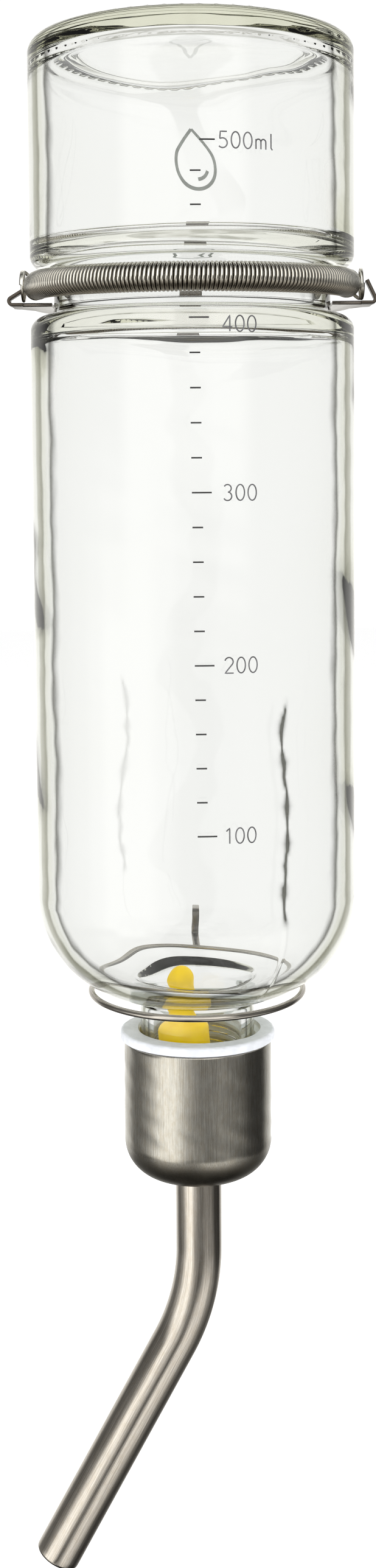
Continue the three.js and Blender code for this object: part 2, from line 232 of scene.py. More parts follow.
def lathe(profile, angles, swell=None):
    """Rings about the axis, through [radius, height] points. swell adds to the radius."""
    profile = np.array(profile, float)
    r, z = profile[:, :1], profile[:, 1:]
    angle = np.asarray(angles)[None, :]
    radius = r + (swell(r, z, angle) if swell else 0 * angle)
    height = z + 0 * angle
    return np.stack([radius * np.cos(angle), radius * np.sin(angle), height], axis=2)


def even_angles(count):
    return np.linspace(0, TAU, count, endpoint=False)


def unit(vectors):
    """Each row made one long."""
    return vectors / np.linalg.norm(vectors, axis=1)[:, None]


def travelled(points):
    """How far along a path each of its points is."""
    steps = np.linalg.norm(np.diff(np.asarray(points, float), axis=0), axis=1)
    return np.concatenate([[0], np.cumsum(steps)])


def link(thing):
    bpy.context.scene.collection.objects.link(thing)


def make_piece(
    name, points, faces, flow, material, body, cad_node=None, slot=None, sharp=35, fields=None
):
    """A mesh object from points in millimetres about the bottle's axis, in place on its body.

    flow is texture coordinates and fields named numbers, both for each point. An edge past sharp
    degrees stays sharp.
    """
    mesh = bpy.data.meshes.new(name)
    metres = (np.asarray(points, float).reshape(-1, 3) + AXIS) * MM
    mesh.from_pydata(metres.tolist(), [], faces)
    if flow is not None:
        flow = np.asarray(flow, np.float32).ravel()
        mesh.attributes.new("flow", "FLOAT_VECTOR", "POINT").data.foreach_set("vector", flow)
    for key, values in (fields or {}).items():
        values = np.asarray(values, np.float32).ravel()
        mesh.attributes.new(key, "FLOAT", "POINT").data.foreach_set("value", values)
    mesh.materials.append(material)
    shape = bmesh.new()
    shape.from_mesh(mesh)
    bmesh.ops.remove_doubles(shape, verts=shape.verts, dist=1e-6)
    bmesh.ops.recalc_face_normals(shape, faces=shape.faces)
    shape.to_mesh(mesh)
    shape.free()
    mesh.polygons.foreach_set("use_smooth", [True] * len(mesh.polygons))
    mesh.set_sharp_from_angle(angle=math.radians(sharp))
    piece = bpy.data.objects.new(name, mesh)
    link(piece)
    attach(piece, body)
    if cad_node:
        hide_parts(cad_node)


def turned_piece(name, profile, count, *looks, swell=None, **extra):
    """A piece turned about the axis from a closed outline. Its flow goes round and along that."""
    profile = [*profile, profile[0]]
    rings = lathe(profile, even_angles(count), swell)
    flow = rings.copy()
    flow[:, :, 2] = travelled(profile)[:, None]
    make_piece(name, rings, grid_faces(len(profile), count), flow, *looks, **extra)


def strip_section(width, thick, edge):
    """A flat strip's section with its long edges rounded."""
    w, t = width / 2 - edge, thick / 2 - edge
    points = []
    for corner, (x, y) in enumerate([(w, t), (-w, t), (-w, -t), (w, -t)]):
        points += arc(x, y, edge, 90 * corner, 90 * corner + 90, 3)
    return [[y, x] for x, y in points]


def swept_piece(name, path, normals, section, *looks, **extra):
    """A piece swept along a path, with a section of [across, out] points.

    normals point out from the path. The flow is the section and the length.
    """
    path = np.asarray(path, float)
    tangents = unit(np.gradient(path, axis=0))
    sides = unit(np.cross(tangents, normals))
    outs = np.cross(sides, tangents)
    across, out = np.asarray(section, float).T[:, None, :, None]
    rings = path[:, None, :] + sides[:, None, :] * across + outs[:, None, :] * out
    rows, count = rings.shape[:2]
    flow = np.zeros(rings.shape)
    flow[:, :, :2] = section
    flow[:, :, 2] = travelled(rings.mean(axis=1))[:, None]
    faces = grid_faces(rows, count) + ring_caps(rows, count)
    make_piece(name, rings, faces, flow, *looks, **extra)


def waves(seed, terms, z_scale, round_scale):
    """A soft random surface over height and angle, about -1 to 1, that closes on itself."""
    draw = random.Random(seed)
    parts = []
    for _ in range(terms):
        length = z_scale * draw.uniform(0.6, 1.8)
        turns = draw.randint(0, round_scale)
        parts.append((TAU / length, turns, draw.uniform(0, TAU), draw.uniform(0.5, 1)))
    total = math.sqrt(sum(p[3] ** 2 for p in parts))

    def value(z, angle):
        out = 0
        for k, turns, phase, weight in parts:
            out = out + weight * np.sin(k * z + turns * angle + phase)
        return out / total

    return value


# ---- material helpers ----


def plug(tree, made, inputs):
    """Fill a node's inputs, each with a number, a colour or another node's output socket."""
    for key, value in inputs.items():
        if isinstance(value, bpy.types.NodeSocket):
            tree.links.new(value, made.inputs[key])
        else:
            made.inputs[key].default_value = value
    return made


def node(tree, kind, inputs=(), **settings):
    """A new shader node of a kind, with its settings and inputs."""
    made = tree.nodes.new("ShaderNode" + kind)
    for key, value in settings.items():
        setattr(made, key, value)
    return plug(tree, made, dict(inputs))


def ramp(tree, fac, stops):
    """A colour ramp. stops are (position, grey or colour), in rising order."""
    made = node(tree, "ValToRGB", {"Fac": fac})
    made.color_ramp.interpolation = "EASE"
    elements = made.color_ramp.elements
    while len(elements) < len(stops):
        elements.new(0.5)
    for element, (position, color) in zip(elements, stops):
        element.position = position
        element.color = (*color, 1) if isinstance(color, tuple) else (color, color, color, 1)
    return made.outputs["Color"]


def maths(tree, operation, *values, clamp=False):
    made = node(tree, "Math", enumerate(values), operation=operation, use_clamp=clamp)
    return made.outputs[0]


def mix(tree, factor, a, b, kind="MIX"):
    """Two colours mixed, each a tuple or a socket."""
    a, b = ((*color, 1) if isinstance(color, tuple) else color for color in (a, b))
    made = node(tree, "Mix", {0: factor, 6: a, 7: b}, data_type="RGBA", blend_type=kind)
    return made.outputs[2]


def field(tree, name, output="Fac"):
    """A named value that the mesh holds for each point."""
    return node(tree, "Attribute", attribute_name=name).outputs[output]


def bumped(tree, height, strength, distance):
    inputs = {"Height": height, "Strength": strength, "Distance": distance}
    return node(tree, "Bump", inputs).outputs[0]


def noise(tree, vector, scale, detail, roughness):
    mapped = node(tree, "Mapping", {"Vector": vector, "Scale": scale}).outputs[0]
    inputs = {"Vector": mapped, "Scale": 1.0, "Detail": detail, "Roughness": roughness}
    return node(tree, "TexNoise", inputs).outputs["Fac"]


def flow_noise(tree, scale, detail=3, roughness=0.6):
    """Noise over a piece's own flow coordinates, in millimetres."""
    return noise(tree, field(tree, "flow", "Vector"), scale, detail, roughness)


def place_noise(tree, scale, detail, roughness):
    """Noise over the place on the object, in metres."""
    where = node(tree, "TexCoord").outputs["Object"]
    return noise(tree, where, scale, detail, roughness)


def new_material(name):
    material = bpy.data.materials.new(name)
    material.use_nodes = True
    tree = material.node_tree
    return material, tree, tree.nodes["Principled BSDF"]


SOFT_STEP = [(0.3, 0.0), (0.7, 1.0)]  # spreads noise from nought to one
STREAK_SPREAD = 0.16


def steel(name, color, rough, streak=(9, 9, 0.12), dirt=0.35):
    """Worked steel with streaks, blotches and stains. A field on the mesh, 0 to 1, darkens it and
    makes it rougher: painted shade on the spring and the cap's lower corner, and darker strap ears
    and tongues.
    """
    material, tree, shader = new_material(name)
    lines = flow_noise(tree, streak, 5, 0.7)
    blotch = flow_noise(tree, (0.35, 0.35, 0.16), 3)
    stains = ramp(tree, flow_noise(tree, (1.1, 1.1, 0.5), 6, 0.7), [(0.35, 0.0), (0.75, 1.0)])
    dark = tuple(c * (1 - STREAK_SPREAD * 2) for c in color)
    light = tuple(min(1.0, c * (1 + STREAK_SPREAD)) for c in color)
    brown = tuple(c * share for c, share in zip(color, (0.72, 0.64, 0.52)))
    tone = mix(tree, ramp(tree, lines, SOFT_STEP), dark, light)
    tone = mix(tree, maths(tree, "MULTIPLY", stains, dirt), tone, brown)
    painted_shade_and_darkening = field(tree, "painted_shade_and_darkening")
    # painted shade where the field is set on the spring and the cap, and darker ears and tongues on
    # the strap
    tone = mix(tree, painted_shade_and_darkening, tone, tuple(c * 0.3 for c in brown))
    wear = maths(tree, "MULTIPLY_ADD", blotch, 0.14, rough - 0.1)
    wear = maths(tree, "ADD", wear, maths(tree, "MULTIPLY", lines, 0.06))
    plug(tree, shader, {
        "Base Color": tone,
        "Metallic": 1.0,
        "Roughness": maths(tree, "MULTIPLY_ADD", painted_shade_and_darkening, 0.2, wear, clamp=True),
        "Normal": bumped(tree, lines, 0.25, 0.00003),
    })
    return material


def moulded(name, color, rough, grain=2.5, depth=0.3, shade=0.12, gloss=0.5, painted_glow=0.0):
    """Moulded plastic or rubber with a fine grain and slightly uneven colour.

    Its emission argument is painted light: the plastic glows though it is no lamp.
    """
    material, tree, shader = new_material(name)
    fine = flow_noise(tree, (grain, grain, grain), 4, 0.6)
    broad = flow_noise(tree, (0.3, 0.3, 0.3), 2)
    dark = tuple(c * (1 - shade) for c in color)
    plug(tree, shader, {
        "Base Color": mix(tree, ramp(tree, broad, SOFT_STEP), dark, color),
        "Roughness": maths(tree, "MULTIPLY_ADD", fine, 0.2, rough - 0.1),
        "Normal": bumped(tree, fine, depth, 0.0001),
        "Specular IOR Level": gloss,
    })
    if painted_glow:
        plug(tree, shader, {"Emission Color": PAINTED_GLOW_COLOR, "Emission Strength": painted_glow})
    return material


def clear_glass(name, painted_edge_bands, ripple_depth):
    """Clear soda-lime glass. Its band list paints shade onto its outer surface, from face-on, 0, to
    grazing, 1: dark and olive lines that stand in for dark surroundings seen at the edges.
    """
    material, tree, shader = new_material(name)
    ripple = place_noise(tree, (60, 60, 22), 2, 0.5)
    facing = node(tree, "LayerWeight", {"Blend": 0.5}).outputs["Facing"]
    waver = place_noise(tree, (70, 70, 34), 3, 0.6)
    wobble = maths(tree, "MULTIPLY", maths(tree, "SUBTRACT", waver, 0.5), 0.14)
    edge = maths(tree, "ADD", facing, wobble, clamp=True)
    # painted shade: dark and olive bands on the outer surface towards grazing
    edge_shade = mix(tree, field(tree, "outer"), painted_edge_bands[0][1], ramp(tree, edge, painted_edge_bands))
    # the mark field paints a dark line of shade along the mould seams
    mark = maths(tree, "MULTIPLY", field(tree, "mark"), 1.0, clamp=True)  # at most 1
    plug(tree, shader, {
        "Base Color": mix(tree, mark, edge_shade, SEAM_SHADE_COLOR),
        "Roughness": 0.0,
        "IOR": 1.5,
        "Transmission Weight": 1.0,
        "Normal": bumped(tree, ripple, ripple_depth, 0.0006),
    })
    shadow = node(tree, "LightPath").outputs["Is Shadow Ray"]
    clear = node(tree, "BsdfTransparent", {"Color": (0.93, 0.95, 0.92, 1)})
    both = node(tree, "MixShader", {0: shadow, 1: shader.outputs[0], 2: clear.outputs[0]})
    # a long way through the glass turns light olive
    bulk = node(tree, "VolumeAbsorption", {"Color": (0.40, 0.40, 0.0, 1), "Density": 8.0})
    output = tree.nodes["Material Output"]
    plug(tree, output, {"Surface": both.outputs[0], "Volume": bulk.outputs[0]})
    return material


PAINTED_GLOW_COLOR = (0.9, 0.62, 0.0, 1)
SEAM_SHADE_COLOR = (0.03, 0.03, 0.025)
OLIVE = (0.12, 0.12, 0.075)
CLEAR = (0.985, 0.99, 0.985)
# the dark and olive stops are painted shade along the glass's edges
bottle_glass = clear_glass(
    "bottle_glass",
    [
        (0.0, CLEAR),
        (0.46, CLEAR),
        (0.535, (0.09, 0.09, 0.08)),
        (0.57, (0.88, 0.89, 0.83)),
        (0.63, (0.74, 0.75, 0.64)),
        (0.67, OLIVE),
        (0.75, (0.26, 0.265, 0.19)),
        (0.80, (0.86, 0.87, 0.80)),
        (1.0, (0.92, 0.93, 0.92)),
    ],
    ripple_depth=0.10,
)
shell_metal = steel("shell_metal", (0.47, 0.455, 0.415), 0.2, dirt=0.5)
tube_metal = steel("tube_metal", (0.52, 0.485, 0.44), 0.13, streak=(5, 5, 0.08), dirt=0.35)
ball_metal = steel("ball_metal", (0.6, 0.6, 0.58), 0.1, streak=(2, 2, 2), dirt=0.1)
strap_metal = steel("strap_metal", (0.21, 0.19, 0.175), 0.2, streak=(6, 6, 0.2))
spring_metal = steel("spring_metal", (0.90, 0.87, 0.81), 0.10, streak=(8, 8, 0.3), dirt=0.1)
ring_metal = steel("ring_metal", (0.50, 0.47, 0.43), 0.08, streak=(8, 8, 0.2), dirt=0.1)
weld_metal = steel("weld_metal", (0.40, 0.38, 0.36), 0.42, streak=(2, 2, 2))
liner_plastic = moulded("liner_plastic", (0.80, 0.82, 0.86), 0.5, grain=3.0, depth=0.6)
# the float's glow is painted light, to brighten it inside the glass
float_plastic = moulded(
    "float_plastic", (0.93, 0.62, 0.0), 0.4, grain=1.2, shade=0.2, gloss=0.25, painted_glow=0.34
)
seal_rubber = moulded("seal_rubber", (0.68, 0.68, 0.65), 0.6, grain=6.0)
tick_ink = moulded("tick_ink", (0.04, 0.04, 0.04), 0.6, grain=8.0, shade=0.4)
number_ink = moulded("number_ink", (0.15, 0.15, 0.155), 0.6, grain=8.0, shade=0.5)
mark_ink = moulded("mark_ink", (0.46, 0.48, 0.49), 0.6, grain=8.0, shade=0.3)


# ---- bottle ----


def bottle_outside():
    """The outside of the glass from the middle of the base to the end of the neck."""
    groove_top = GROOVE_Z + GROOVE_HALF
    groove_bottom = GROOVE_Z - GROOVE_HALF
    lip = BODY_R - LIP_R
    root = lip - GROOVE_FLOOR_R  # round at the foot of each groove wall
    shoulder = BODY_R - SHOULDER_R
    heel = BODY_R - HEEL_R
    bearing_z = BASE_Z - STUD_HEIGHT
    punt_z = BASE_Z - PUNT_DEPTH
    punt_edge = PUNT_R - PUNT_ROUND
    return [
        *line((0, punt_z), (punt_edge, punt_z), 2),
        *arc(punt_edge, punt_z + PUNT_ROUND, PUNT_ROUND, -90, -55, 5)[:-1],
        *arc(BEARING_R - 0.5, bearing_z - BEARING_ROUND, BEARING_ROUND, 125, 90, 4),
        *line((BEARING_R, bearing_z), (heel, bearing_z), 0.3),
        *arc(heel, bearing_z - HEEL_R, HEEL_R, 90, 0, 12),
        *line((BODY_R, bearing_z - HEEL_R - 1), (BODY_R, groove_top + LIP_R), 2),
        *arc(lip, groove_top + LIP_R, LIP_R, 0, -90, 12),
        *arc(lip, groove_top - root, root, 90, 180, 8)[1:],
        *line((GROOVE_FLOOR_R, groove_top - root - 0.5), (GROOVE_FLOOR_R, groove_bottom + root), 1),
        *arc(lip, groove_bottom + root, root, 180, 270, 8),
        *arc(lip, groove_bottom - LIP_R, LIP_R, 90, 0, 12)[1:],
        *line((BODY_R, groove_bottom - LIP_R - 1), (BODY_R, SHOULDER_Z), 1.5),
        *arc(shoulder, SHOULDER_Z, SHOULDER_R, 0, -80, 44),
        *arc(NECK_R + NECK_FILLET_R, NECK_TOP_Z - 1.9, NECK_FILLET_R, 100, 180, 8),
        *line((NECK_R, NECK_TOP_Z - NECK_FILLET_R), (NECK_R, MOUTH_Z), 0.2),
        *arc(NECK_R - MOUTH_ROUND, MOUTH_Z, MOUTH_ROUND, 0, -90, 5),
    ]


def bottle_inside():
    """The inside of the glass from the end of the neck to the middle of the base."""
    inner = BODY_R - WALL
    top = BASE_Z - BASE_THICK
    middle = top - 0.4  # the inside of the base sinks a little towards its middle
    heel = inner - INNER_HEEL_R
    shoulder_r = SHOULDER_R - WALL + 0.2
    shoulder = inner - shoulder_r
    return [
        *arc(NECK_BORE_R + MOUTH_ROUND, MOUTH_Z, MOUTH_ROUND, 270, 180, 5),
        *line((NECK_BORE_R, MOUTH_Z + 1), (NECK_BORE_R, NECK_TOP_Z - 0.5), 1),
        *arc(shoulder, SHOULDER_Z, shoulder_r, -84, 0, 44),
        *line((inner, SHOULDER_Z + 1), (inner, top - INNER_HEEL_R), 0.8),
        *arc(heel, top - INNER_HEEL_R, INNER_HEEL_R, 0, 90, 12),
        *line((heel - 1, top - 0.05), (0, middle), 2),
        [0, middle],
    ]


def off_helix(z, angle, start_z):
    """Height above or below the nearest turn of a thread that starts at start_z."""
    climb = z - start_z - PITCH * (angle % TAU) / TAU
    return np.abs((climb + PITCH / 2) % PITCH - PITCH / 2)


def thread_height(z, angle):
    """1 on the neck's thread, which climbs one pitch for each turn, 0 off it, with soft ends."""
    along = (z - THREAD_START_Z) / PITCH
    ends = smooth_step(-0.05, 0.15, along)
    ends = ends * smooth_step(THREAD_TURNS + 0.05, THREAD_TURNS - 0.15, along)
    return (1 - smooth_step(*THREAD_HALF, off_helix(z, angle, THREAD_START_Z))) * ends


def faded(z, ends):
    """1 between two heights, each given as the span over which it fades."""
    return smooth_step(*ends[0], z) * smooth_step(*ends[1], z)


def seam_offset(z, angle, seam, wander):
    """Distance in millimetres round the bottle from a mould seam, which wanders a little."""
    turn = (angle - seam + math.pi) % TAU - math.pi
    return turn * BODY_R - 0.75 * wander(z, 0 * z)


def build_bottle():
    outside, inside = bottle_outside(), bottle_inside()
    rows = len(outside)
    bulge = waves(SEED, 9, 60, 3)
    ripple = waves(SEED + 1, 8, 17, 7)
    rough_neck = waves(SEED + 2, 10, 9, 6)
    wander = waves(SEED + 3, 6, 26, 0)
    ragged = waves(SEED + 4, 8, 5, 0)
    groove_depth = BODY_R - GROOVE_FLOOR_R
    bulge_size, ripple_size, mould_size, neck_size = 0.45, 0.06, 0.05, 0.28
    ridge_height, ridge_width = 0.16, 0.55

    def swell(r, z, angle):
        added = np.zeros(np.broadcast(r, angle).shape)
        out = np.arange(len(r))[:, None] < rows
        straight = smooth_step(NECK_R + 6, BODY_R - 4, r)
        # inside: the wall's waves, and a bulge that follows the groove
        hollow = 1 - smooth_step(GROOVE_HALF + 0.5, GROOVE_HALF + 6, np.abs(z - GROOVE_Z))
        side = (r > BODY_R - WALL - 0.5) & ~out
        added += np.where(side, -groove_depth * hollow, 0)
        amount = bulge_size * bulge(z, angle) + ripple_size * ripple(z, angle)
        calm = 1 - smooth_step(BASE_Z - 24, BASE_Z - 8, z)
        added += np.where(~out, amount * straight * calm * (1 - 0.6 * hollow), 0)
        lumps = neck_size * rough_neck(z, angle) * smooth_step(NECK_BORE_R + 1, NECK_R + 4, r)
        added += np.where(~out & (z < SHOULDER_Z + 6), lumps * (1 - straight), 0)
        # outside: mould waves, the thread and the seams
        added += np.where(out & (r > BODY_R - SLACK), -mould_size * np.abs(ripple(z, angle)), 0)
        on_neck = out & (r <= NECK_R + SLACK) & (z < FLANGE_TOP_Z)
        added += np.where(on_neck, (THREAD_CREST_R - NECK_R) * thread_height(z, angle), 0)
        span = faded(z, SEAM_RIDGE)
        for seam in SEAM_ANGLES:
            near = np.exp(-(seam_offset(z, angle, seam, wander) / ridge_width) ** 2)
            ridge = ridge_height * near * span - 0.02 * span
            added += np.where(out & (r > NECK_R + 4), ridge, 0)
        return added

    fine = [np.radians(np.linspace(-3.2, 3.2, 40)) + seam for seam in SEAM_ANGLES]
    angles = np.concatenate([even_angles(STUDS * 8), *fine]) % TAU
    angles = np.unique(np.round(angles, 5))
    profile = [*outside, *inside]
    rings = lathe(profile, angles, swell)
    height = rings[:, :, 2]
    # studs stand on the bearing ring of the base
    turn = angles[None, :]
    middle = (BEARING_R + BODY_R - HEEL_R) / 2 + 1.2
    half = 0.75
    stud = np.exp(-(((np.array(profile)[:, :1] - middle) / half) ** 2))
    stud = stud * np.clip(np.cos(turn * STUDS), 0, 1) ** 1.5
    top = np.arange(len(profile))[:, None] < rows
    rings[:, :, 2] = height + np.where(top & (height > BASE_Z - 1), STUD_HEIGHT * stud, 0)
    # painted shade: the seams read darker, most of all at the front right
    seam_shade = np.zeros(height.shape)
    for seam, strength in zip(SEAM_ANGLES, (1.2, 0.45)):
        off = seam_offset(height, turn + 0 * height, seam, wander)
        shifted = off + 0.12 * ragged(height, 0 * height)
        width = 0.62 + 0.25 * ragged(height + 40, 0 * height)
        line_share = np.exp(-(shifted / width) ** 2) * faded(height, SEAM_LINE)
        seam_shade += np.where(top, strength * line_share, 0)
    make_piece(
        "bottle_glass", rings, grid_faces(len(profile), len(angles)), None, bottle_glass, "bottle",
        "glass_bottle", "glass", sharp=60, fields={"mark": seam_shade, "outer": top + 0 * height},
    )


# ---- printed scale ----

INK_R = BODY_R + 0.03
INK_THICK = 0.04
TICK_COUNT = 16
TICK_STEP = 6.8  # height of 20 ml
FULL_TICK_Z = -8.6  # 400 ml
FIGURE_HEIGHT = 3.1
FRONT = -math.pi / 2  # angle of the front of the bottle about its axis


def glyph_strokes():
    """Strokes of the figures and the unit, in a box one unit tall."""
    nought = arc(0.3, 0.5, 0.5, 90, 450, 28)
    nought = [[0.3 + (x - 0.3) * 0.56, y] for x, y in nought]
    small = 0.62
    hump = [[x, y] for x, y in arc(0.22, small - 0.17, 0.17, 180, 0, 10)]
    second = [[x + 0.34, y] for x, y in hump]
    return {
        "0": (0.8, [nought]),
        "1": (0.66, [[[0.06, 0.8], [0.28, 1.0], [0.28, 0.0]]]),
        "2": (0.8, [[*arc(0.3, 0.73, 0.27, 165, -35, 14), [0.04, 0.0], [0.6, 0.0]]]),
        "3": (0.8, [[*arc(0.27, 0.76, 0.24, 150, -80, 12), *arc(0.27, 0.26, 0.27, 85, -150, 14)]]),
        "4": (0.83, [[[0.48, 0.0], [0.48, 1.0], [0.02, 0.28], [0.64, 0.28]]]),
        "5": (0.8, [[[0.54, 1.0], [0.12, 1.0], [0.09, 0.56], *arc(0.26, 0.3, 0.3, 118, -140, 14)]]),
        "m": (1.0, [[[0.05, small], [0.05, 0.0]], [*hump, [0.39, 0.0]], [*second, [0.73, 0.0]]]),
        "l": (0.3, [[[0.1, 1.0], [0.1, 0.12], [0.2, 0.0]]]),
    }


def ribbon(stroke, half):
    """A stroke's two edges, as quads. stroke is [x, z] points on the bottle's surface."""
    stroke = np.array(stroke, float)
    tangent = unit(np.gradient(stroke, axis=0))
    side = np.stack([-tangent[:, 1], tangent[:, 0]], axis=1) * half
    return stroke + side, stroke - side


def dense(stroke, step):
    points = []
    for a, b in zip(stroke[:-1], stroke[1:]):
        points += line(a, b, step)
    return [*points, stroke[-1]]


def printed_piece(name, strokes, half, material, facing=FRONT):
    """Thin raised print, wrapped round the bottle. Strokes are in millimetres from its middle."""
    points, faces = [], []
    for stroke in strokes:
        edges = ribbon(dense(stroke, 0.35), half)
        first, count = len(points), len(edges[0])
        for level in (INK_R, INK_R + INK_THICK):
            for x, z in np.concatenate(edges):
                angle = facing + x / BODY_R
                points.append([level * math.cos(angle), level * math.sin(angle), z])
        low_a, low_b, high_a, high_b = (first + i * count for i in range(4))
        for i in range(count - 1):
            for a, b in ((low_a, low_b), (low_b, high_b), (high_b, high_a), (high_a, low_a)):
                faces.append((a + i, a + i + 1, b + i + 1, b + i))
        for i in (0, count - 1):
            faces.append((low_a + i, low_b + i, high_b + i, high_a + i))
    make_piece(name, points, faces, points, material, "bottle", sharp=30)


def number_strokes(text, x, z):
    strokes = []
    glyphs = glyph_strokes()
    size = FIGURE_HEIGHT
    for letter in text:
        width, parts = glyphs[letter]
        strokes += [[[x + px * size, z + pz * size] for px, pz in part] for part in parts]
        x += width * size
    return strokes


def build_scale():
    ticks = []
    for i in range(TICK_COUNT):
        z = FULL_TICK_Z - TICK_STEP * i
        drift = -0.67 + 0.91 * i / 14  # the print isn't quite upright
        length = 3.9 if i % 5 == 0 else 2.1
        ticks.append([[drift, z], [drift + length, z]])
    # above the groove: 480, 460 and 500 ml
    for left, right, z in ((-0.3, 1.8, 19.5), (-0.3, 1.8, 13.0), (1.6, 4.6, 25.4)):
        ticks.append([[left, z], [right, z]])
    printed_piece("scale_ticks", ticks, 0.16, tick_ink)
    numbers = number_strokes("500ml", 5.3, 23.85)
    for i, text in enumerate(("400", "300", "200", "100")):
        drop = 2.7 if i == 0 else 1.55  # the first stands clear of the groove's lip
        numbers += number_strokes(text, 5.85, FULL_TICK_Z - drop - TICK_STEP * 5 * i)
    printed_piece("scale_numbers", numbers, 0.14, number_ink)


def build_drop_mark():
    """A plain water drop printed on the back."""
    foot, radius, tip = 25.0, 5.2, 39.0
    bowl = arc(0, foot + radius, radius, 150, 390, 34)
    outline = [[0, tip], *bowl, [0, tip]]
    shine = arc(0, foot + radius, radius * 0.6, 200, 265, 8)
    printed_piece("drop_mark", [outline, shine], 0.4, mark_ink, facing=-FRONT)


# ---- cap, liner and seals ----


def build_cap():
    sides = 160
    middle = CAP_R - CAP_CORNER_R
    corner_z = CAP_BOTTOM_Z + CAP_CORNER_R
    hole = TUBE_R + 0.4
    lip, edge = SHELL_WALL / 2, 0.3
    profile = [
        *arc(CAP_R - lip, CAP_TOP_Z - lip, lip, 90, 0, 4),
        *line((CAP_R, CAP_TOP_Z - 1), (CAP_R, corner_z), 1),
        *arc(middle, corner_z, CAP_CORNER_R, 0, -90, 24),
        *line((middle - 0.2, CAP_BOTTOM_Z), (hole + edge, CAP_BOTTOM_Z), 0.5),
        *arc(hole + edge, CAP_BOTTOM_Z + edge, edge, 270, 180, 3),
        *arc(hole + edge, CAP_BOTTOM_Z + SHELL_WALL - edge, edge, 180, 90, 3),
        *arc(middle, corner_z, CAP_CORNER_R - SHELL_WALL, -90, 0, 16),
        *arc(CAP_R - SHELL_WALL + lip, CAP_TOP_Z - lip, lip, 180, 95, 4),
    ]
    dents = waves(SEED + 5, 8, 12, 5)

    def swell(r, z, angle):
        return -0.05 * np.abs(dents(z, angle)) * (r > CAP_R - SLACK)

    heights = np.array([*profile, profile[0]])[:, 1:] + np.zeros(sides)
    painted_shade_and_darkening = 0.75 * (1 - smooth_step(corner_z - 3.5, corner_z + 1, heights))  # painted shade on the lower corner, which is also made rougher
    turned_piece(
        "cap_steel", profile, sides, shell_metal, "cap", "cap_shell", "shell_steel", swell=swell,
        fields={"painted_shade_and_darkening": painted_shade_and_darkening},
    )


def build_liner():
    flange_bottom = FLANGE_TOP_Z - FLANGE_THICK
    bottom = CAP_BOTTOM_Z + SHELL_WALL + CLEARANCE
    corner = CAP_CORNER_R - SHELL_WALL - CLEARANCE
    hole = GROMMET_R + CLEARANCE
    edge, low_edge = 0.6, 0.3
    profile = [
        *line((LINER_BORE_R + 0.3, FLANGE_TOP_Z), (FLANGE_R - edge, FLANGE_TOP_Z), 0.5),
        *arc(FLANGE_R - edge, FLANGE_TOP_Z - edge, edge, 90, 0, 6),
        *line((FLANGE_R, FLANGE_TOP_Z - edge - 0.2), (FLANGE_R, flange_bottom + low_edge), 0.25),
        *arc(FLANGE_R - low_edge, flange_bottom + low_edge, low_edge, 0, -90, 3),
        [LINER_R, flange_bottom],
        *arc(LINER_R - corner, bottom + corner, corner, 0, -90, 12),
        [hole, bottom],
        [hole, LINER_FLOOR_Z],
        [LINER_BORE_R, LINER_FLOOR_Z],
        *line((LINER_BORE_R, LINER_FLOOR_Z + 0.2), (LINER_BORE_R, FLANGE_TOP_Z - 0.2), 0.2),
    ]
    chips = waves(SEED + 6, 14, 1.6, 60)
    start = THREAD_START_Z - 0.5 * PITCH

    def swell(r, z, angle):
        # half a turn on, so that the groove meets the neck's thread
        deep = 1 - smooth_step(*LINER_GROOVE_HALF, off_helix(z, angle + math.pi, start))
        deep = deep * smooth_step(start - 0.2, start + 0.3, z)
        groove_r = LINER_BORE_R + (LINER_GROOVE_R - LINER_BORE_R) * deep
        inner = (r < LINER_GROOVE_R) & (z > start - 1)  # the groove runs out through the top
        rim = (r > FLANGE_R - edge - SLACK) & (z > flange_bottom)
        added = np.where(inner, np.maximum(groove_r - r, 0), 0)
        return added - np.where(rim, 0.12 * np.abs(chips(z, angle)), 0)

    turned_piece(
        "liner_moulding", profile, 240, liner_plastic, "cap", "thread_liner", "white_plastic",
        swell=swell,
    )


def seal_outline(inner, outer, low, high, step=()):
    """A seal's outline with rounded edges. step is where its outside steps in, if it does."""
    edge = SEAL_EDGE
    foot = step[-1][0] if step else outer
    return [
        *arc(outer - edge, high - edge, edge, 90, 0, 4),
        *step,
        *arc(foot - edge, low + edge, edge, 0, -90, 4),
        *arc(inner + edge, low + edge, edge, 270, 180, 4),
        *arc(inner + edge, high - edge, edge, 180, 90, 4),
    ]


def build_seals():
    washer = seal_outline(TUBE_R + 0.35, NECK_R, washer_low[2], washer_high[2])
    outer = grommet_high[0]
    step_z = LINER_FLOOR_Z + CLEARANCE
    step = [[outer, step_z], [GROMMET_R, step_z]]
    grommet = seal_outline(TUBE_R + 0.3, outer, grommet_low[2], grommet_high[2], step)
    for name, outline, body, cad_node in (
        ("washer_ring", washer, "washer", "sealing_washer"),
        ("grommet_ring", grommet, "cap", "tube_grommet"),
    ):
        turned_piece(name, outline, 96, seal_rubber, body, cad_node, "washer_rubber")


# ---- tube, ball and float ----

TUBE_STRAIGHT = TUBE_TOP_Z - BEND_START_Z
TUBE_LENGTH = TUBE_STRAIGHT + BEND_R * BEND_ANGLE + SPOUT_LENGTH


def tube_station(length):
    """The tube's centre line and its sideways direction at a length from its top."""
    angle = min(max((length - TUBE_STRAIGHT) / BEND_R, 0), BEND_ANGLE)
    c, s = math.cos(angle), math.sin(angle)
    beyond = max(0, length - TUBE_STRAIGHT - BEND_R * BEND_ANGLE)
    drop = min(length, TUBE_STRAIGHT) + BEND_R * s + beyond * c
    return np.array([-BEND_R * (1 - c) - beyond * s, 0, TUBE_TOP_Z - drop]), np.array([c, 0, -s])


